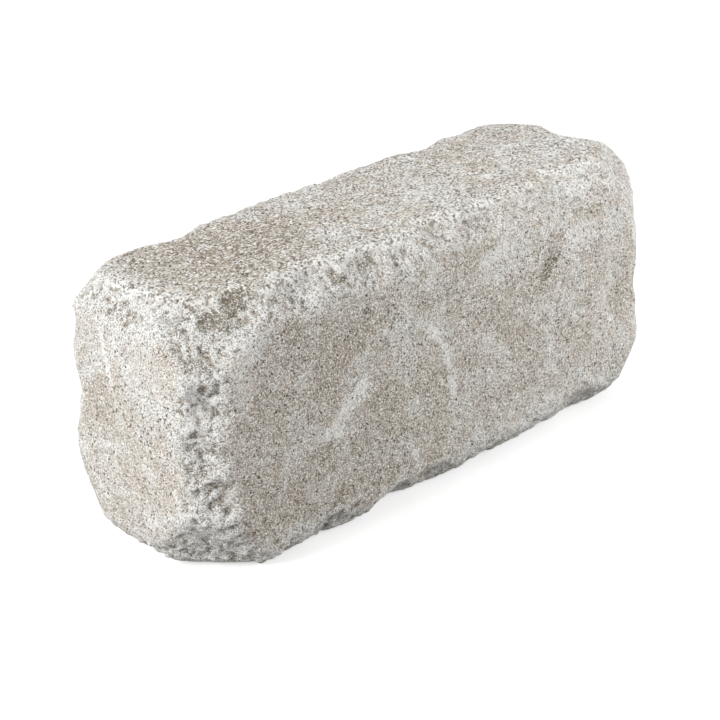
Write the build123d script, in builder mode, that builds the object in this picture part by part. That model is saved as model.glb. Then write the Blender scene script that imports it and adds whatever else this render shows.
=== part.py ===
"""Tumbled concrete paver: one solid block, cast square and then rolled in a drum until its arrises wore back,
its corners broke off and its edges spalled.

Frame: the origin is at the centre of the bed face, +X along the length towards the right end, +Y from the front
side to the back side, +Z up. All sizes are in millimetres.
"""

import os
from itertools import cycle
from math import cos, radians, sin, sqrt, tan

from build123d import *

# The block as it left the mould
length = 300
width = 100
height = 125

# Rounding that the drum leaves on every ridge between two worn faces
tumble_radius = 9

# Sides of the block, as signs along X, Y and Z. An arris is named by its two sides and the axis it runs along.
LEFT, RIGHT = -1, 1
FRONT, BACK = -1, 1
BED, TOP = -1, 1
ALONG = 0

# How far each arris is worn back along both of its faces, at even steps from its left, front or bed end
arris_wear = {
    (ALONG, FRONT, TOP): (13, 11, 17),
    (ALONG, FRONT, BED): (8, 8, 12),
    (ALONG, BACK, TOP): (14, 8, 9),
    (ALONG, BACK, BED): (14, 10, 13),
    (LEFT, ALONG, TOP): (12, 10),
    (LEFT, ALONG, BED): (7, 17),
    (RIGHT, ALONG, TOP): (14, 9),
    (RIGHT, ALONG, BED): (13, 12),
    (LEFT, FRONT, ALONG): (15, 12),
    (LEFT, BACK, ALONG): (12, 19),
    (RIGHT, FRONT, ALONG): (14, 20),
    (RIGHT, BACK, ALONG): (13, 15),
}

# Length lost at each corner from the three arrises that met there, along X, Y and Z
corner_wear = {
    (LEFT, FRONT, TOP): (44, 40, 42),
    (LEFT, FRONT, BED): (41, 50, 46),
    (LEFT, BACK, TOP): (46, 32, 32),
    (LEFT, BACK, BED): (47, 35, 65),
    (RIGHT, FRONT, TOP): (58, 30, 45),
    (RIGHT, FRONT, BED): (37, 45, 48),
    (RIGHT, BACK, TOP): (31, 40, 39),
    (RIGHT, BACK, BED): (44, 42, 40),
}

# Spalls broken out of the arrises: the arris, how far the spall's middle is from the arris's left, front or bed
# end, the spall's length and depth, and the angle it leans over from the first side that the arris names towards
# the second one
spalls = [
    ((ALONG, FRONT, TOP), 29, 34, 4.4, 12),
    ((ALONG, FRONT, TOP), 58, 20, 2.4, -18),
    ((ALONG, FRONT, TOP), 76, 22, 2.2, 20),
    ((ALONG, FRONT, TOP), 101, 28, 3.2, -8),
    ((ALONG, FRONT, TOP), 150, 20, 2.2, 22),
    ((ALONG, FRONT, TOP), 171, 25, 3.0, -14),
    ((ALONG, FRONT, TOP), 234, 34, 3.0, -20),
    ((ALONG, FRONT, BED), 70, 24, 3.4, -15),
    ((ALONG, FRONT, BED), 114, 32, 5.0, 8),
    ((ALONG, FRONT, BED), 134, 28, 3.8, -12),
    ((ALONG, FRONT, BED), 241, 26, 3.4, -10),
    ((ALONG, BACK, TOP), 62, 28, 2.6, 18),
    ((ALONG, BACK, TOP), 148, 32, 2.4, -20),
    ((ALONG, BACK, TOP), 226, 24, 2.4, 15),
    ((ALONG, BACK, BED), 86, 34, 4.4, -12),
    ((ALONG, BACK, BED), 108, 22, 3.2, 18),
    ((ALONG, BACK, BED), 228, 30, 3.4, 10),
    ((LEFT, FRONT, ALONG), 40, 20, 2.6, 18),
    ((LEFT, FRONT, ALONG), 62, 22, 3.2, -14),
    ((LEFT, FRONT, ALONG), 84, 24, 3.4, 16),
    ((LEFT, BACK, ALONG), 70, 26, 2.8, -16),
    ((RIGHT, FRONT, ALONG), 58, 22, 2.6, 14),
    ((RIGHT, BACK, ALONG), 72, 28, 3.6, 12),
    ((LEFT, ALONG, TOP), 46, 22, 2.6, -15),
    ((RIGHT, ALONG, TOP), 50, 26, 3.0, 18),
    ((RIGHT, ALONG, BED), 48, 22, 2.6, -18),
]

# Slope of a bevel that is worn back alike along both of its faces
bevel_slope = 45

# Small flakes knocked off every arris in between, each leaving a long face and a short one. They follow each other
# at one pitch, and take their depth, the tilt of both faces along the arris and their lean from these rows in turn.
flake_pitch = 19
flake_depths = (1.7, 0.9, 1.4, 0.7, 1.2)
flake_tilts = (3, -3, 0, 4, -2, 2, -4)
flake_leans = (9, -15, 3, 14, -8, -12, 16, -2)
flake_long_slope = 12
flake_short_slope = 34
flake_rise = 14
flake_span = 44

# Gouge struck into the front face: its middle from the left end and above the bed, its slope and its sizes
gouge_along = 214
gouge_height = 87
gouge_slope = 38
gouge_length = 26
gouge_width = 7
gouge_depth = 2.2

middle = Vector(0, 0, height / 2)
half = Vector(length / 2, width / 2, height / 2)
outward = (Vector(1, 0, 0), Vector(0, 1, 0), Vector(0, 0, 1))


def arris_point(sides, share):
    """The point of an unworn arris, or a corner, at a share of the way from its low end to its high one."""
    x, y, z = (2 * share - 1 if side == ALONG else side for side in sides)
    return middle + Vector(x * half.X, y * half.Y, z * half.Z)


def inward_runs(sides):
    """The directions that lead from an arris or corner into the block, one for each side that it names."""
    return [axis * -side for axis, side in zip(outward, sides) if side != ALONG]


def worn_face(a, b, c):
    """The plane through three points, facing out and set in by the rounding that comes back later."""
    normal = (b - a).cross(c - a).normalized()
    if normal.dot(a - middle) < 0:
        normal = -normal
    return Plane(origin=a - normal * tumble_radius, z_dir=normal)


def arris_faces(sides, wear):
    """The bevels of one arris, each between two neighbouring values of its wear."""
    in_one, in_other = inward_runs(sides)
    steps = len(wear) - 1
    faces = []
    for step in range(steps):
        start = arris_point(sides, step / steps)
        end = arris_point(sides, (step + 1) / steps)
        faces.append(
            worn_face(start + in_one * wear[step], start + in_other * wear[step], end + in_one * wear[step + 1])
        )
    return faces


def corner_face(sides, lost):
    """The facet where a corner broke off, through the points where its three arrises now end."""
    corner = arris_point(sides, 0)
    return worn_face(*(corner + run * distance for run, distance in zip(inward_runs(sides), lost)))


def wear_at(wear, share):
    """The wear of an arris at a share of its length, between the values at its steps."""
    steps = len(wear) - 1
    step = min(int(share * steps), steps - 1)
    return wear[step] + (wear[step + 1] - wear[step]) * (share * steps - step)


def cap_radius(chord, depth):
    """The radius of the circle whose cap has this chord and depth."""
    return (chord**2 / 4 + depth**2) / (2 * depth)


def spall(sides, along, spall_length, depth, lean):
    """Cuts the cap of a ball, as long and deep as the spall, into the middle of a worn arris."""
    own_axis = sides.index(ALONG)
    share = along / (length, width, height)[own_axis]
    in_one, in_other = inward_runs(sides)
    place = arris_point(sides, share) + (in_one + in_other) * (wear_at(arris_wear[sides], share) / 2)
    turn = radians(bevel_slope + lean)
    away = -in_one * cos(turn) - in_other * sin(turn)
    ball_radius = cap_radius(spall_length, depth)
    with Locations(place + away * (ball_radius - depth)):
        Sphere(ball_radius, mode=Mode.SUBTRACT)


def arris_length(sides):
    """The length of an arris between the two corners that the block was cast with."""
    return (length, width, height)[sides.index(ALONG)]


def flake_plane(sides, along, depth, tilt, lean, way):
    """The plane of a flake's outline: it stands along a worn arris, with its origin at the bottom of the flake, and
    looks up or down the arris as the way is 1 or -1."""
    share = along / arris_length(sides)
    in_one, in_other = inward_runs(sides)
    place = arris_point(sides, share) + (in_one + in_other) * (wear_at(arris_wear[sides], share) / 2)
    turn = radians(bevel_slope + lean)
    away = -in_one * cos(turn) - in_other * sin(turn)
    run = outward[sides.index(ALONG)] * way
    tilted_run = run * cos(radians(tilt)) + away * sin(radians(tilt))
    return Plane(origin=place - away * depth, x_dir=tilted_run, z_dir=run.cross(away))


def flake_planes():
    """The planes of all the flakes, evenly spread along every arris, and turned one way and the other by turns."""
    depths, tilts, leans, ways = cycle(flake_depths), cycle(flake_tilts), cycle(flake_leans), cycle((1, -1, -1))
    planes = []
    for sides in arris_wear:
        flakes = int(arris_length(sides) / flake_pitch) - 1
        start = (arris_length(sides) - (flakes - 1) * flake_pitch) / 2
        for count in range(flakes):
            along = start + count * flake_pitch
            planes.append(flake_plane(sides, along, next(depths), next(tilts), next(leans), next(ways)))
    return planes


# The gouge is the side of a spindle that lies along its run, just proud of the front face
gouge_bow = cap_radius(gouge_length, gouge_depth)
gouge_girth = cap_radius(gouge_width, gouge_depth)
gouge_reach = sqrt(gouge_bow**2 - (gouge_bow - gouge_girth) ** 2)
gouge_run = Vector(cos(radians(gouge_slope)), 0, sin(radians(gouge_slope)))
gouge_plane = Plane(
    origin=(gouge_along - half.X, FRONT * (half.Y + gouge_girth - gouge_depth), gouge_height),
    x_dir=gouge_run,
    z_dir=Vector(0, FRONT, 0).cross(gouge_run),
)

with BuildPart() as paver:
    with Locations(middle):
        Box(length - 2 * tumble_radius, width - 2 * tumble_radius, height - 2 * tumble_radius)
    for sides, wear in arris_wear.items():
        for face in arris_faces(sides, wear):
            split(bisect_by=face, keep=Keep.BOTTOM)
    for sides, lost in corner_wear.items():
        split(bisect_by=corner_face(sides, lost), keep=Keep.BOTTOM)
    offset(amount=tumble_radius)
    for sizes in spalls:
        spall(*sizes)
    with BuildSketch(*flake_planes()):
        with BuildLine():
            Polyline(
                (0, 0),
                (flake_rise / tan(radians(flake_long_slope)), flake_rise),
                (-flake_rise / tan(radians(flake_short_slope)), flake_rise),
                close=True,
            )
        make_face()
    extrude(amount=flake_span / 2, both=True, mode=Mode.SUBTRACT)
    with BuildSketch(gouge_plane):
        with BuildLine():
            ThreePointArc((-gouge_reach, 0), (0, gouge_girth), (gouge_reach, 0))
            Line((gouge_reach, 0), (-gouge_reach, 0))
        make_face()
    revolve(axis=Axis(gouge_plane.origin, gouge_run), mode=Mode.SUBTRACT)

paver.part.label = "paver"

os.makedirs("parts", exist_ok=True)
export_step(paver.part, "parts/paver.step")

print("volume", round(paver.part.volume / 1e6, 3), "litres, size", paver.part.bounding_box().size)
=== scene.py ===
"""Scene for the tumbled concrete paver: the crumbled skin over the cast block, its concrete, the floor, the light
and the camera. Everything is in metres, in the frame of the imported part: the origin is at the centre of the bed,
+X along the length, +Y from front to back, +Z up."""

from math import cos, radians, sin

import bpy
import numpy as np
from mathutils import Matrix, Vector, noise
from mathutils.bvhtree import BVHTree


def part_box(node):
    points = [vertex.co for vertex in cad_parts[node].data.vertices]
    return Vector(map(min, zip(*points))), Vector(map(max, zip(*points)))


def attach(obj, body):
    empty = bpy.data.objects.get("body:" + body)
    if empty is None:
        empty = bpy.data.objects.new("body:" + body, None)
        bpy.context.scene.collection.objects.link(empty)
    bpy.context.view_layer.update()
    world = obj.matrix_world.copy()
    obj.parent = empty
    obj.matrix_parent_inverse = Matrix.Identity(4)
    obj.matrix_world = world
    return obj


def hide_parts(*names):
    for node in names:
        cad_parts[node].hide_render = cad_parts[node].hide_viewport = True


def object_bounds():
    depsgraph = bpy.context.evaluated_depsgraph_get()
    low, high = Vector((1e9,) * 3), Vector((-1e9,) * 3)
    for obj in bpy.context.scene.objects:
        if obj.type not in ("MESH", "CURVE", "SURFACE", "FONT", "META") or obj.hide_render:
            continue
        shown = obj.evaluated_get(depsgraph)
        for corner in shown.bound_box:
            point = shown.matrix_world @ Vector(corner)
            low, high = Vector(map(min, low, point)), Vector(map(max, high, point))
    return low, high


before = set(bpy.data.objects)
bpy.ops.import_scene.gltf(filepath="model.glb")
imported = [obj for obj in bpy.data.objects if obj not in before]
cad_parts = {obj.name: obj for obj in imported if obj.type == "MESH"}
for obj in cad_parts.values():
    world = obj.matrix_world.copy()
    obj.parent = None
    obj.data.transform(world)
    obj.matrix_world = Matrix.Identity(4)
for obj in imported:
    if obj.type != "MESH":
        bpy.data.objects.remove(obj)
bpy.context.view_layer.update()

MILLIMETRE = 0.001

# Corners of the block's triangles that lie closer together than this are one point
JOINED_WITHIN = 0.01 * MILLIMETRE

# The rolling of the rims: the voxel that the block is remeshed with first, and how often it is evened out
ROLLED_VOXEL = 2.0 * MILLIMETRE
ROLLING_PASSES = 5

# Skin: its voxel, and the triangles that are left when it is done
SKIN_VOXEL = 0.8 * MILLIMETRE
SKIN_TRIANGLES = 196000

# Distance from an arris within which the drum crumbled the concrete, and where the crumbling fades out
CRUMBLED_WITHIN = 8 * MILLIMETRE
CRUMBLING_ENDS = 20 * MILLIMETRE

# Depth under the faces from which concrete is broken rather than cast
BROKEN_FROM = 1.6 * MILLIMETRE
BROKEN_BELOW = 3.2 * MILLIMETRE

# The ragged border of the crumbling: its wide and its narrow turns to the metre, the share of the narrow ones, and
# how far it strays along the faces and in depth
WIDE_TURNS = 70
NARROW_TURNS = 190
NARROW_SHARE = 0.5
BORDER_STRAYS = 7 * MILLIMETRE
DEPTH_STRAYS = 1 * MILLIMETRE

# How much less the drum crumbled the right half than the left end
SPARED_ON_THE_RIGHT = 0.4

# How often the skin is evened out to find what stands proud of it and what lies below it
EVENING_PASSES = 5

# Steps in which the share of crumbling is painted on the skin
WEIGHT_STEPS = 50

# Reliefs worn into the skin, in turn: the name of the pattern, the size of its forms and its depth in millimetres,
# the value of it that stays where it is, its layers, whether its noise is hard, the band of the noise that it rises
# over, and the painted share that it follows, with no name where it is all over the block
BROKEN_RELIEFS = (
    ("uneven_face", 40, 0.8, 0.7, 1, False, (0.0, 1.0), ""),
    ("lumps", 9, 2.0, 0.4, 2, True, (0.0, 1.0), "crumbled"),
    ("pockets", 5.5, 1.1, 1.0, 3, False, (0.26, 0.40), "crumbled"),
    ("crumbs", 3.8, 2.4, 0.35, 3, True, (0.0, 1.0), "crumbled"),
)
WASHED_RELIEFS = (
    ("washed_sand", 3, 0.4, 0.6, 2, False, (0.0, 1.0), ""),
    ("pits", 3.4, 0.7, 1.0, 1, False, (0.27, 0.38), ""),
)

block_low, block_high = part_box("paver")
block_middle = (block_low + block_high) / 2
block_half = (block_high - block_low) / 2


# The skin of the block


def take_up(piece):
    """Makes one piece the active one and the only one selected."""
    bpy.ops.object.select_all(action="DESELECT")
    piece.select_set(True)
    bpy.context.view_layer.objects.active = piece


def finish_with(piece, kind, **settings):
    """Adds a modifier to a piece and applies it at once."""
    take_up(piece)
    modifier = piece.modifiers.new(kind.title(), kind)
    for name, value in settings.items():
        setattr(modifier, name, value)
    bpy.ops.object.modifier_apply(modifier=modifier.name)


def copy_of_block(name):
    """A copy of the block's mesh as a piece of its own, with its loose triangles joined up."""
    piece = bpy.data.objects.new(name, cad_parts["paver"].data.copy())
    bpy.context.scene.collection.objects.link(piece)
    piece.data.materials.clear()
    take_up(piece)
    bpy.ops.object.mode_set(mode="EDIT")
    bpy.ops.mesh.select_all(action="SELECT")
    bpy.ops.mesh.remove_doubles(threshold=JOINED_WITHIN)
    bpy.ops.object.mode_set(mode="OBJECT")
    return piece


def points_of(piece):
    """The piece's vertices as an array of positions."""
    points = np.empty(len(piece.data.vertices) * 3)
    piece.data.vertices.foreach_get("co", points)
    return points.reshape(-1, 3)


def smooth_step(low, high, values):
    """Rises smoothly from 0 at the low value to 1 at the high one."""
    share = np.clip((values - low) / (high - low), 0, 1)
    return share * share * (3 - 2 * share)


def wobble_at(point):
    """The turn of the ragged border at a point, about -1 to 1."""
    return noise.noise(point * WIDE_TURNS) + NARROW_SHARE * noise.noise(point * NARROW_TURNS)


def crumbling(points):
    """How crumbled each point is: 1 on arrises, corners and spalls, 0 out on the faces, with a ragged border."""
    nearest, second_nearest, _ = np.sort(np.array(block_half) - np.abs(points - np.array(block_middle)), axis=1).T
    wobble = np.array([wobble_at(Vector(point)) for point in points])
    near_arris = 1 - smooth_step(CRUMBLED_WITHIN, CRUMBLING_ENDS, second_nearest + wobble * BORDER_STRAYS)
    broken = smooth_step(BROKEN_FROM, BROKEN_BELOW, nearest + wobble * DEPTH_STRAYS)
    towards_right = smooth_step(block_low.x, block_high.x / 2, points[:, 0])
    return np.maximum(near_arris, broken) * (1 - SPARED_ON_THE_RIGHT * towards_right)


def hollows(piece):
    """How deep each vertex lies in a hollow of the skin, in millimetres, or below 0 how far it stands proud."""
    points = points_of(piece)
    ends = np.empty(len(piece.data.edges) * 2, dtype=np.int32)
    piece.data.edges.foreach_get("vertices", ends)
    ends = ends.reshape(-1, 2)
    neighbours = np.bincount(ends.ravel(), minlength=len(points))[:, None]
    evened = points
    for _ in range(EVENING_PASSES):
        total = np.zeros_like(points)
        np.add.at(total, ends[:, 0], evened[ends[:, 1]])
        np.add.at(total, ends[:, 1], evened[ends[:, 0]])
        evened = total / neighbours
    normals = np.empty(len(points) * 3)
    piece.data.vertex_normals.foreach_get("vector", normals)
    return ((evened - points) * normals.reshape(-1, 3)).sum(axis=1) / MILLIMETRE


def sunk(points, sound_skin):
    """How far each point lies under the sound skin, in millimetres, or below 0 how far it stands out from it."""
    depths = []
    for point in points:
        place, normal, _, _ = sound_skin.find_nearest(Vector(point))
        depths.append((place - Vector(point)).dot(normal) / MILLIMETRE)
    return depths


def paint_weights(piece, name, weights):
    """A vertex group that holds the weights in small steps."""
    group = piece.vertex_groups.new(name=name)
    steps = np.round(weights * WEIGHT_STEPS).astype(int)
    for step in range(1, WEIGHT_STEPS + 1):
        group.add(np.flatnonzero(steps == step).tolist(), step / WEIGHT_STEPS, "REPLACE")


def relief_texture(name, size, layers, hard, band):
    """A relief pattern of about the given size. Below the band's low value it is 0, above its high value 1."""
    texture = bpy.data.textures.new(name, "CLOUDS")
    texture.noise_scale = size
    texture.noise_depth = layers
    texture.noise_type = "HARD_NOISE" if hard else "SOFT_NOISE"
    texture.use_color_ramp = True
    low, high = texture.color_ramp.elements
    low.position, high.position = band
    low.color, high.color = (0, 0, 0, 1), (1, 1, 1, 1)
    return texture


def wear_in(piece, reliefs):
    """Wears reliefs into the piece: the even value of each stays where it is, darker sinks and paler rises."""
    for name, size, depth, even, layers, hard, band, group in reliefs:
        finish_with(
            piece,
            "DISPLACE",
            texture=relief_texture(name, size * MILLIMETRE, layers, hard, band),
            texture_coords="LOCAL",
            direction="NORMAL",
            mid_level=even,
            strength=depth * MILLIMETRE,
            vertex_group=group,
        )


def keep_values(piece, name, values):
    """Keeps one value for each vertex on the piece, where its concrete can read it."""
    piece.data.attributes.new(name, "FLOAT", "POINT").data.foreach_set("value", values)


def weathered_block():
    """The block with its rims rolled, its faces worn uneven, its arrises crumbled and its sand washed out."""
    piece = copy_of_block("weathered_block")
    finish_with(piece, "REMESH", mode="VOXEL", voxel_size=ROLLED_VOXEL)
    finish_with(piece, "SMOOTH", factor=0.5, iterations=ROLLING_PASSES)
    finish_with(piece, "REMESH", mode="VOXEL", voxel_size=SKIN_VOXEL)
    sound_skin = BVHTree.FromPolygons(
        [vertex.co.copy() for vertex in piece.data.vertices], [face.vertices[:] for face in piece.data.polygons]
    )
    paint_weights(piece, "crumbled", crumbling(points_of(piece)))
    wear_in(piece, BROKEN_RELIEFS)
    finish_with(piece, "REMESH", mode="VOXEL", voxel_size=SKIN_VOXEL)
    wear_in(piece, WASHED_RELIEFS)
    triangles = sum(len(face.vertices) - 2 for face in piece.data.polygons)
    finish_with(piece, "DECIMATE", ratio=SKIN_TRIANGLES / triangles)
    take_up(piece)
    bpy.ops.object.shade_smooth()
    keep_values(piece, "hollow", hollows(piece))
    keep_values(piece, "sunk", sunk(points_of(piece), sound_skin))
    keep_values(piece, "crumbled_share", crumbling(points_of(piece)))
    return piece


# The concrete


def srgb(red, green, blue):
    """A colour given in the usual 0 to 255 steps, as a shader wants it."""
    shares = [value / 255 for value in (red, green, blue)]
    return [share / 12.92 if share <= 0.04045 else ((share + 0.055) / 1.055) ** 2.4 for share in shares] + [1]


WARM_CEMENT = srgb(205, 194, 181)
COOL_CEMENT = srgb(219, 213, 204)
STAINED_CEMENT = srgb(184, 171, 155)
# Darker, warmer cement: bare cement, and painted shade over the front face and towards the left end
BARE_AND_SHADED_CEMENT = srgb(176, 163, 145)
FILM_OF_LIME = srgb(230, 228, 223)
FLECK_OF_LIME = srgb(243, 242, 239)
CRUST_OF_LIME = srgb(244, 243, 239)
RUBBED_TIP = srgb(246, 245, 241)
SCUFFED_LIME = srgb(250, 249, 246)
# Brown dirt with painted shade, laid darker into the hollows, the deepest breaks and the chips
DIRT_AND_SHADE_IN_HOLLOWS = srgb(150, 140, 122)
DIRT_AND_SHADE_IN_BREAKS = srgb(134, 124, 103)
SHADE_AND_DIRT_IN_CHIPS = srgb(126, 113, 90)
DARK_SAND = srgb(96, 89, 78)
PALE_SAND = srgb(255, 255, 253)
# Painted shade in the open pores, and the own colour of the dark grains of grit
PORE_SHADE_AND_GRIT = srgb(82, 76, 67)

# Patches of the concrete: how many of them there are to the metre, their layers of detail and how rough those are,
# the band of the pattern over which a patch comes in, and its strength
COOL_PATCHES = (24, 6.0, 0.68, 0.42, 0.60, 1.0)
STAINS = (50, 7.0, 0.75, 0.52, 0.66, 0.6)
LIME_FILM = (44, 6.0, 0.66, 0.50, 0.60, 0.85)
LIME_FLECKS = (110, 6.0, 0.7, 0.56, 0.64, 0.9)
LIME_CRUST = (85, 6.0, 0.7, 0.44, 0.60, 0.7)
SCUFF_CRUMBS = (560, 4.0, 0.8, 0.42, 0.58, 0.35)
THICK_GRIT = (70, 4.0, 0.7, 0.40, 0.62, 1.0)

# Lime, and brown dirt with painted shade, on the broken concrete: the depths in millimetres between which each comes
# in, and its strength. The first two are depths of the skin's own tips and hollows, the other two are depths under
# the sound skin.
PROUD_TIPS = (-0.03, -0.18, 0.9)
DIRTY_AND_SHADED_HOLLOWS = (0.06, 0.35, 0.75)
SHALLOW_BREAKS = (0.9, 0.0, 0.7)
DEEP_BREAKS = (1.4, 2.4, 0.85)

# The value in the middle of every pattern
MIDDLE_TONE = 0.5

# The mottle that frays the marks and the dirt: its turns to the metre, its layers, their roughness, its reach
MOTTLE = (340, 5.0, 0.8)
MOTTLE_REACH = 3.4

# How the marks stray from their places: turns to the metre, layers, and reach
STRAY_TURNS = 130.0
STRAY_LAYERS = 3.0
STRAY_REACH = 8 * MILLIMETRE

# The share of the lime lost where the cement is bare and where shade is painted over it, the share of a scuff that
# its crumbs don't break up, and the share of the sand that a scuff hides
LIME_LOST_WHERE_BARE = 0.6
WHOLE_SCUFF = 0.65
SAND_UNDER_SCUFFS = 0.45

# Sand grains to the metre, with fewer and larger ones on the top face, the depths below the top face between which
# the larger ones come in, and how strongly the palest and the darkest grains show
SAND_GRAINS = 2300.0
WASHED_GRAINS = 1250.0
WASHED_FROM = 6 * MILLIMETRE
WASHED_ABOVE = 2 * MILLIMETRE
SAND_STRENGTH = 0.85

# Grit: its grains to the metre, the share of them that stay pale where it is sparse and how much smaller that is
# where it is thick, how ragged the edge of a dark grain is, the band in which that edge fades out with its strength,
# and the share lost where the concrete crumbled
GRIT_GRAINS = 640.0
SPARSE_GRIT = 0.93
THICKENING = 0.18
RAGGED_EDGE = 0.7
GRIT_EDGE = (0.76, 0.56, 0.9)
GRIT_LOST_WHERE_CRUMBLED = 0.6

# Pores: their pattern, the band of it in which they open, and their strength on the faces and where it crumbled
PORES = (1150, 3.0, 0.8)
OPEN_PORES = (0.62, 0.70)
PORES_ON_FACES = 0.6
PORES_WHERE_CRUMBLED = 0.35

# Fine relief: its pattern, the shares of it that pores take off and pale sand puts on, and its strength on the
# faces and where the concrete crumbled
FINE_GRAIN = (1400, 3.0, 0.8)
COARSE_SHARE = 0.7
SAND_STANDS_OUT = 0.3
RELIEF_ON_FACES = 1.05
RELIEF_WHERE_CRUMBLED = 0.2
RELIEF_DEPTH = 0.8 * MILLIMETRE


def add(tree, kind, inputs=None, **settings):
    """Adds a node, sets its options, and fills its inputs with values or with links from other nodes."""
    made = tree.nodes.new(kind)
    for name, value in settings.items():
        setattr(made, name, value)
    for name, value in (inputs or {}).items():
        if isinstance(value, bpy.types.NodeSocket):
            tree.links.new(value, made.inputs[name])
        else:
            made.inputs[name].default_value = value
    return made


def rise(tree, value, low, high, top=1.0):
    """Turns a value into a mask that rises smoothly from 0 at low to top at high."""
    return add(
        tree, "ShaderNodeMapRange",
        {"Value": value, "From Min": low, "From Max": high, "To Min": 0.0, "To Max": top},
        interpolation_type="SMOOTHSTEP",
    ).outputs["Result"]


def maths(tree, operation, first, second):
    """The result of one sum on two values."""
    return add(tree, "ShaderNodeMath", {0: first, 1: second}, operation=operation).outputs[0]


def lay_over(tree, mask, below, above):
    """Lays one colour over another where the mask is 1."""
    made = add(tree, "ShaderNodeMix", data_type="RGBA")
    for index, value in ((0, mask), (6, below), (7, above)):
        if isinstance(value, bpy.types.NodeSocket):
            tree.links.new(value, made.inputs[index])
        else:
            made.inputs[index].default_value = value
    return made.outputs[2]


def speckle(tree, position, scale, detail, roughness):
    """A fine or coarse mottle, about 0 to 1."""
    return add(
        tree, "ShaderNodeTexNoise",
        {"Vector": position, "Scale": scale, "Detail": detail, "Roughness": roughness},
    ).outputs["Fac"]


def patches(tree, position, kind):
    """A mask of ragged patches, as the values of their kind say."""
    scale, detail, roughness, low, high, strength = kind
    return rise(tree, speckle(tree, position, scale, detail, roughness), low, high, strength)


def grains(tree, position, scale):
    """A pattern of grains, each with its own colour and its distance from the grain's middle."""
    return add(tree, "ShaderNodeTexVoronoi", {"Vector": position, "Scale": scale}).outputs


def tone(tree, colour):
    """A single value from a grain's colour, 0 to 1."""
    return add(tree, "ShaderNodeSeparateColor", {"Color": colour}).outputs["Red"]


def value_on_skin(tree, name):
    """A value that the skin keeps for each of its points."""
    return add(tree, "ShaderNodeAttribute", attribute_name=name).outputs["Fac"]


def less(tree, whole, value, share):
    """The whole less a share of a value."""
    return maths(tree, "SUBTRACT", whole, maths(tree, "MULTIPLY", value, share))


def more(tree, whole, value, share):
    """The whole and a share of a value."""
    return maths(tree, "ADD", whole, maths(tree, "MULTIPLY", value, share))


# Marks in the photo, each on its face: the face, the middle of the mark on it, the mark's slope in degrees, its
# length, its width and its strength. On the front and top faces the first place is from the left end; on the end
# face it is from the middle. The second is the height, or on the top face the place across. A mark on the rim is
# placed as on the front face, and goes round into the broken arrises beside it. All in millimetres.
PALE_MARKS = [
    ("front", 137, 78, -50, 22, 9, 0.85),
    ("front", 144.5, 64, -70, 25, 8, 0.9),
    ("front", 149, 48, -80, 20, 8, 0.9),
    ("front", 149.5, 33, -78, 16, 3.5, 0.6),
    ("front", 167, 70, 32, 30, 4, 0.5),
    ("front", 210, 93, 42, 24, 3, 1.0),
    ("front", 196, 83, 26, 22, 3, 0.6),
    ("front", 239, 96, 10, 28, 18, 0.75),
    ("front", 180, 102, 5, 30, 14, 0.75),
    ("front", 135, 104, 60, 16, 6, 0.5),
    ("front", 216, 23, 80, 14, 6, 0.5),
    ("front", 124, 72, 30, 14, 8, 0.35),
    ("front", 91, 66, 40, 15, 12, 1.0),
    ("front", 84, 62, 38, 17, 13, 1.0),
    ("front", 78, 57, 10, 14, 9, 0.7),
    ("front", 73, 52, -10, 18, 11, 0.9),
    ("front", 65, 52, -20, 14, 8, 0.6),
    ("front", 84, 71, 30, 10, 3, 0.6),
    ("front", 24, 92, 85, 46, 12, 0.5),
    ("front", 256, 60, 85, 70, 22, 0.35),
    ("end", -40, 84, 95, 60, 10, 0.7),
    ("end", -12, 48, 60, 22, 8, 0.6),
    ("end", 5, 70, 70, 26, 7, 0.4),
    ("front", 65, 27, 0, 24, 14, 0.45),
    ("front", 54, 82, 30, 7, 4, 0.8),
    ("end", 10, 92, 78, 38, 7, 1.0),
    ("end", -30, 39, 75, 18, 5, 0.8),
    ("end", -13, 24, 0, 18, 10, 0.6),
    ("end", -35, 18, 0, 10, 7, 0.9),
    ("top", 209, -16, 0, 12, 8, 1.0),
    ("top", 258, -18, 10, 12, 7, 1.0),
    ("top", 231, -7, 30, 14, 9, 0.9),
    ("top", 259, 0, -42, 36, 4, 0.9),
]

# Darker, warmer cement in the same form: the smaller areas are cement that the drum left bare, the broad ones over
# the whole front face and the left parts of the front and top faces are partly painted shade
BARE_AND_SHADED_AREAS = [
    ("front", 120, 60, 0, 320, 150, 0.5),
    ("front", 46, 102, 20, 44, 18, 1.0),
    ("front", 72, 78, 60, 90, 60, 0.8),
    ("front", 108, 50, 20, 80, 60, 0.7),
    ("front", 74, 28, 0, 130, 52, 1.0),
    ("front", 166, 111, 15, 38, 12, 0.8),
    ("front", 141, 95, 10, 40, 18, 0.8),
    ("front", 206, 74, 40, 32, 18, 0.7),
    ("front", 253, 70, 60, 26, 14, 0.9),
    ("front", 180, 45, -20, 60, 40, 0.5),
    ("front", 268, 62, 80, 40, 20, 0.6),
    ("front", 247, 107, 15, 36, 14, 0.8),
    ("front", 225, 58, 30, 40, 26, 0.4),
    ("top", 60, 4, 0, 140, 90, 0.8),
    ("top", 130, -10, 10, 60, 30, 0.4),
    ("end", 10, 60, 80, 60, 40, 0.35),
]

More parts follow.
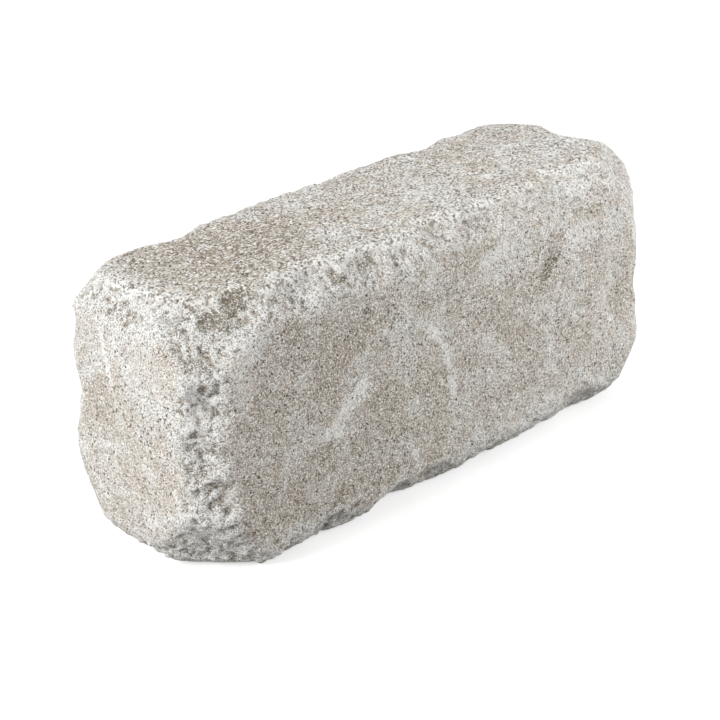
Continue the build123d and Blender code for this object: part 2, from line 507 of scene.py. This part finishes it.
# Chips, broken places and the bottom of the gouge, painted dark with shadow and dirt, in the same form
DARK_MARKS = [
    ("front", 94, 100, 0, 6, 4.5, 1.0),
    ("front", 110, 91, 62, 11, 2.6, 0.9),
    ("front", 104, 93, 20, 6, 2.5, 0.8),
    ("front", 216, 86, 46, 26, 9, 1.0),
    ("front", 222, 66, 70, 12, 4, 0.7),
    ("front", 30, 82, 60, 16, 7, 0.4),
    ("end", -36, 10, 10, 12, 5, 0.9),
    ("rim", 33, 121, 20, 26, 10, 0.9),
    ("rim", 19, 116, -15, 26, 10, 0.8),
    ("rim", 8, 101, -20, 16, 7, 0.6),
    ("rim", 104, 118, 30, 16, 6, 0.7),
    ("rim", 84, 117, 20, 13, 5, 0.8),
    ("rim", 178, 118, 10, 26, 8, 0.4),
    ("rim", 12, 62, 80, 12, 5, 0.5),
]

# How deep a mark goes into its face, how far behind the front face the middle of a rim mark lies, and how deep such
# a mark goes
MARK_DEPTH = 12 * MILLIMETRE
RIM_SET_BACK = 8 * MILLIMETRE
RIM_MARK_DEPTH = 20 * MILLIMETRE

# How far in from its outline a mark is held back, as a share of its radius, and the band in which the mottle frays it
MARK_BORDER = (0.0, 0.25)
MARK_FRAYING = (0.05, 0.50)


def mark_group():
    """A mark on a face: 1 in its middle, fading out in specks, stretched and turned to its place."""
    tree = bpy.data.node_groups.new("ragged_mark", "ShaderNodeTree")
    for name in ("Position", "Middle", "Turn", "Reach"):
        tree.interface.new_socket(name, in_out="INPUT", socket_type="NodeSocketVector")
    tree.interface.new_socket("Mottle", in_out="INPUT", socket_type="NodeSocketFloat")
    tree.interface.new_socket("Mask", in_out="OUTPUT", socket_type="NodeSocketFloat")
    given = add(tree, "NodeGroupInput")
    placed = add(
        tree, "ShaderNodeMapping",
        {
            "Vector": given.outputs["Position"],
            "Location": given.outputs["Middle"],
            "Rotation": given.outputs["Turn"],
            "Scale": given.outputs["Reach"],
        },
        vector_type="TEXTURE",
    )
    round_spot = add(tree, "ShaderNodeTexGradient", {"Vector": placed.outputs["Vector"]}, gradient_type="SPHERICAL")
    spot = round_spot.outputs["Fac"]
    frayed = rise(tree, maths(tree, "ADD", spot, given.outputs["Mottle"]), *MARK_FRAYING)
    add(tree, "NodeGroupOutput", {"Mask": maths(tree, "MULTIPLY", frayed, rise(tree, spot, *MARK_BORDER))})
    return tree


def mark_place(face, along, across, slope, half_length, half_width):
    """The middle, the turns and the reach of a mark on its face."""
    turn = radians(slope)
    from_left = along * MILLIMETRE - block_half.x
    second = across * MILLIMETRE
    if face == "front":
        middle, turns = (from_left, block_low.y, second), (0, -turn, 0)
        reach = (half_length, MARK_DEPTH, half_width)
    elif face == "rim":
        middle, turns = (from_left, block_low.y + RIM_SET_BACK, second), (0, -turn, 0)
        reach = (half_length, RIM_MARK_DEPTH, half_width)
    elif face == "end":
        middle, turns = (block_low.x, along * MILLIMETRE, second), (turn, 0, 0)
        reach = (MARK_DEPTH, half_length, half_width)
    else:
        middle, turns = (from_left, second, block_high.z), (0, 0, turn)
        reach = (half_length, half_width, MARK_DEPTH)
    return middle, turns, reach


def mark_mask(tree, position, mottle, group, marks):
    """All the marks of one kind in one mask."""
    together = 0.0
    for face, along, across, slope, mark_length, mark_width, strength in marks:
        half_length = mark_length / 2 * MILLIMETRE
        half_width = mark_width / 2 * MILLIMETRE
        middle, turns, reach = mark_place(face, along, across, slope, half_length, half_width)
        mark = add(
            tree, "ShaderNodeGroup",
            {"Position": position, "Mottle": mottle, "Middle": middle, "Turn": turns, "Reach": reach},
            node_tree=group,
        )
        together = maths(tree, "MAXIMUM", together, maths(tree, "MULTIPLY", mark.outputs["Mask"], strength))
    return together


def strayed(tree, position):
    """The position, moved to and fro so that the marks run unevenly, as the drum scratched them."""
    drift = add(tree, "ShaderNodeTexNoise", {"Vector": position, "Scale": STRAY_TURNS, "Detail": STRAY_LAYERS})
    middle_tone, reach = [MIDDLE_TONE] * 3, [STRAY_REACH] * 3
    centred = add(tree, "ShaderNodeVectorMath", {0: drift.outputs["Color"], 1: middle_tone}, operation="SUBTRACT")
    moved = add(
        tree, "ShaderNodeVectorMath", {0: centred.outputs[0], 1: reach, 2: position}, operation="MULTIPLY_ADD"
    )
    return moved.outputs[0]


def cement(tree, position):
    """The cement's own colour: warm grey and cooler grey in broad patches, with darker stains."""
    colour = lay_over(tree, patches(tree, position, COOL_PATCHES), WARM_CEMENT, COOL_CEMENT)
    return lay_over(tree, patches(tree, position, STAINS), colour, STAINED_CEMENT)


def limed(tree, position, colour, bare_and_shaded, crumbled, hollow, deep):
    """Lime bloom: a thin film in patches, thick on what the drum crumbled and on what stands proud there."""
    kept = less(tree, 1.0, bare_and_shaded, LIME_LOST_WHERE_BARE)
    film = maths(tree, "MULTIPLY", patches(tree, position, LIME_FILM), kept)
    colour = lay_over(tree, film, colour, FILM_OF_LIME)
    flecks = maths(tree, "MULTIPLY", patches(tree, position, LIME_FLECKS), kept)
    colour = lay_over(tree, flecks, colour, FLECK_OF_LIME)
    crust = maths(tree, "MULTIPLY", crumbled, patches(tree, position, LIME_CRUST))
    colour = lay_over(tree, crust, colour, CRUST_OF_LIME)
    proud = maths(tree, "MAXIMUM", rise(tree, hollow, *PROUD_TIPS), rise(tree, deep, *SHALLOW_BREAKS))
    return lay_over(tree, maths(tree, "MULTIPLY", crumbled, proud), colour, RUBBED_TIP)


def dirtied_and_shaded(tree, colour, mottle, crumbled, hollow, deep):
    """Brown dirt and painted shade down in the hollows and in what broke out deepest."""
    # Painted shade with brown dirt: darker the deeper a hollow of the crumbled skin lies
    in_hollows = maths(tree, "MULTIPLY", crumbled, rise(tree, hollow, *DIRTY_AND_SHADED_HOLLOWS))
    colour = lay_over(tree, in_hollows, colour, DIRT_AND_SHADE_IN_HOLLOWS)
    # Painted shade with brown dirt: darker the deeper a break lies under the sound skin
    in_breaks = rise(tree, maths(tree, "ADD", deep, mottle), *DEEP_BREAKS)
    return lay_over(tree, in_breaks, colour, DIRT_AND_SHADE_IN_BREAKS)


def sand_tone(tree, position):
    """How dark each grain of sand is, from 0 to 1, with larger grains on the washed top face."""
    height = add(tree, "ShaderNodeSeparateXYZ", {"Vector": position}).outputs["Z"]
    washed = rise(tree, height, block_high.z - WASHED_FROM, block_high.z - WASHED_ABOVE)
    fine = grains(tree, position, SAND_GRAINS)["Color"]
    large = grains(tree, position, WASHED_GRAINS)["Color"]
    return tone(tree, lay_over(tree, washed, fine, large))


def grit_mask(tree, position, crumbled, coarse):
    """Dark grains of grit with broken edges, closer together in patches and fewer where the concrete crumbled."""
    grit = grains(tree, position, GRIT_GRAINS)
    dark_from = less(tree, SPARSE_GRIT, patches(tree, position, THICK_GRIT), THICKENING)
    chosen = maths(tree, "GREATER_THAN", tone(tree, grit["Color"]), dark_from)
    edge = more(tree, grit["Distance"], coarse, RAGGED_EDGE)
    grain = maths(tree, "MULTIPLY", chosen, rise(tree, edge, *GRIT_EDGE))
    return maths(tree, "MULTIPLY", grain, less(tree, 1.0, crumbled, GRIT_LOST_WHERE_CRUMBLED))


def pore_mask(tree, crumbled, coarse):
    """Open pores between the sand, stronger where the concrete crumbled."""
    strength = more(tree, PORES_ON_FACES, crumbled, PORES_WHERE_CRUMBLED)
    return maths(tree, "MULTIPLY", rise(tree, coarse, *OPEN_PORES), strength)


def fine_relief(tree, position, crumbled, coarse, pores, pale_sand):
    """The relief of single grains and pores, too fine for the mesh."""
    height = less(tree, speckle(tree, position, *FINE_GRAIN), coarse, COARSE_SHARE)
    height = maths(tree, "SUBTRACT", height, pores)
    height = more(tree, height, pale_sand, SAND_STANDS_OUT)
    height = maths(tree, "MULTIPLY", height, more(tree, RELIEF_ON_FACES, crumbled, RELIEF_WHERE_CRUMBLED))
    relief = add(tree, "ShaderNodeBump", {"Strength": 1.0, "Distance": RELIEF_DEPTH, "Height": height})
    return relief.outputs["Normal"]


def concrete():
    """Cast concrete: grey cement with lime bloom and scuffs, sand in pale and dark grains, dirt and painted shade in
    the breaks.
    """
    material = bpy.data.materials.new("tumbled_concrete")
    material.use_nodes = True
    tree = material.node_tree
    shader = tree.nodes["Principled BSDF"]
    position = add(tree, "ShaderNodeTexCoord").outputs["Object"]
    crumbled = value_on_skin(tree, "crumbled_share")
    hollow = value_on_skin(tree, "hollow")
    deep = value_on_skin(tree, "sunk")

    mottle = maths(tree, "SUBTRACT", speckle(tree, position, *MOTTLE), MIDDLE_TONE)
    mottle = maths(tree, "MULTIPLY", mottle, MOTTLE_REACH)
    mark = mark_group()
    marked_at = strayed(tree, position)
    pale_marks, bare_and_shaded, dark_marks = (
        mark_mask(tree, marked_at, mottle, mark, marks) for marks in (PALE_MARKS, BARE_AND_SHADED_AREAS, DARK_MARKS)
    )
    broken_up = maths(tree, "ADD", WHOLE_SCUFF, patches(tree, position, SCUFF_CRUMBS))
    scuffs = maths(tree, "MULTIPLY", pale_marks, broken_up)

    # Bare cement, and painted shade over the front face and towards the left end
    colour = lay_over(tree, bare_and_shaded, cement(tree, position), BARE_AND_SHADED_CEMENT)
    colour = limed(tree, position, colour, bare_and_shaded, crumbled, hollow, deep)
    colour = lay_over(tree, scuffs, colour, SCUFFED_LIME)
    colour = dirtied_and_shaded(tree, colour, mottle, crumbled, hollow, deep)
    # Painted shadow with dirt in the chips, the broken places and the bottom of the gouge
    colour = lay_over(tree, dark_marks, colour, SHADE_AND_DIRT_IN_CHIPS)

    loose = less(tree, 1.0, scuffs, SAND_UNDER_SCUFFS)
    grain_tone = sand_tone(tree, position)
    dark_sand = maths(tree, "MULTIPLY", rise(tree, grain_tone, MIDDLE_TONE, 1.0, SAND_STRENGTH), loose)
    pale_sand = maths(tree, "MULTIPLY", rise(tree, grain_tone, MIDDLE_TONE, 0.0, SAND_STRENGTH), loose)
    colour = lay_over(tree, dark_sand, colour, DARK_SAND)
    colour = lay_over(tree, pale_sand, colour, PALE_SAND)

    coarse = speckle(tree, position, *PORES)
    grit = grit_mask(tree, position, crumbled, coarse)
    # Painted shade in the open pores, with the dark grains of grit in the same colour
    pores = maths(tree, "MAXIMUM", pore_mask(tree, crumbled, coarse), grit)
    tree.links.new(lay_over(tree, pores, colour, PORE_SHADE_AND_GRIT), shader.inputs["Base Color"])
    shader.inputs["Roughness"].default_value = 0.93
    shader.inputs["Specular IOR Level"].default_value = 0.25
    normal = fine_relief(tree, position, crumbled, coarse, pores, pale_sand)
    tree.links.new(normal, shader.inputs["Normal"])
    return material


# The studio


def white_floor():
    """A white studio floor that the camera sees as white outside the block's shadow."""
    material = bpy.data.materials.new("white_floor")
    material.use_nodes = True
    tree = material.node_tree
    shader = tree.nodes["Principled BSDF"]
    shader.inputs["Base Color"].default_value = (0.5, 0.5, 0.5, 1)
    shader.inputs["Roughness"].default_value = 1.0
    shader.inputs["Specular IOR Level"].default_value = 0.0
    shader.inputs["Emission Color"].default_value = (1, 1, 1, 1)
    seen = add(tree, "ShaderNodeLightPath").outputs["Is Camera Ray"]
    glow_to_camera = 0.6
    tree.links.new(maths(tree, "MULTIPLY", seen, glow_to_camera), shader.inputs["Emission Strength"])
    return material


def lay_floor():
    """The floor that the block stands on, under the lowest crumb of its skin."""
    bpy.ops.object.select_all(action="DESELECT")
    bpy.ops.mesh.primitive_plane_add(size=30, location=(0, 0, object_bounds()[0][2]))
    floor = bpy.context.object
    floor.name = "floor"
    floor.data.materials.append(white_floor())


def hang_lamp(name, place, size, power):
    """A soft square lamp that points at the block."""
    lamp = bpy.data.lights.new(name, "AREA")
    lamp.size = size
    lamp.energy = power
    holder = bpy.data.objects.new(name, lamp)
    holder.location = place
    holder.rotation_euler = (block_middle - Vector(place)).to_track_quat("-Z", "Y").to_euler()
    bpy.context.scene.collection.objects.link(holder)


def light_studio():
    """Even white surroundings, a soft lamp beyond the left end and a nearer one in front of the right end."""
    world = bpy.data.worlds.new("white_studio")
    bpy.context.scene.world = world
    world.use_nodes = True
    tree = world.node_tree
    tree.nodes["Background"].inputs["Color"].default_value = (1, 1, 1, 1)
    seen = add(tree, "ShaderNodeLightPath").outputs["Is Camera Ray"]
    light_on_block = 0.6
    strength = more(tree, light_on_block, seen, 1 - light_on_block)
    tree.links.new(strength, tree.nodes["Background"].inputs["Strength"])
    hang_lamp("left_softbox", place=(-1.5, 0.25, 0.9), size=0.7, power=32)
    hang_lamp("right_softbox", place=(0.45, -0.5, 0.3), size=0.3, power=3.4)


def set_up_camera():
    """The camera of the photo: a long lens, turned to look at the left end and the front face from above."""
    turn, lift, roll = radians(-44.66), radians(22.91), radians(-2.1)
    distance, off_right, off_up = 0.989, -0.0079, -0.0144
    back = Vector((sin(turn) * cos(lift), -cos(turn) * cos(lift), sin(lift)))
    right = Vector((cos(turn), sin(turn), 0))
    up = back.cross(right)
    camera = bpy.data.cameras.new("camera")
    camera.lens = 106.6
    camera.sensor_width = 36
    holder = bpy.data.objects.new("camera", camera)
    axes = Matrix((right, up, back)).transposed() @ Matrix.Rotation(roll, 3, "Z")
    place = block_middle + right * off_right + up * off_up + back * distance
    holder.matrix_world = Matrix.Translation(place) @ axes.to_4x4()
    bpy.context.scene.collection.objects.link(holder)
    bpy.context.scene.camera = holder


block = weathered_block()
block.data.materials.append(concrete())
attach(block, "root")
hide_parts("paver")
lay_floor()
light_studio()
set_up_camera()
bpy.context.scene.view_settings.view_transform = "Standard"
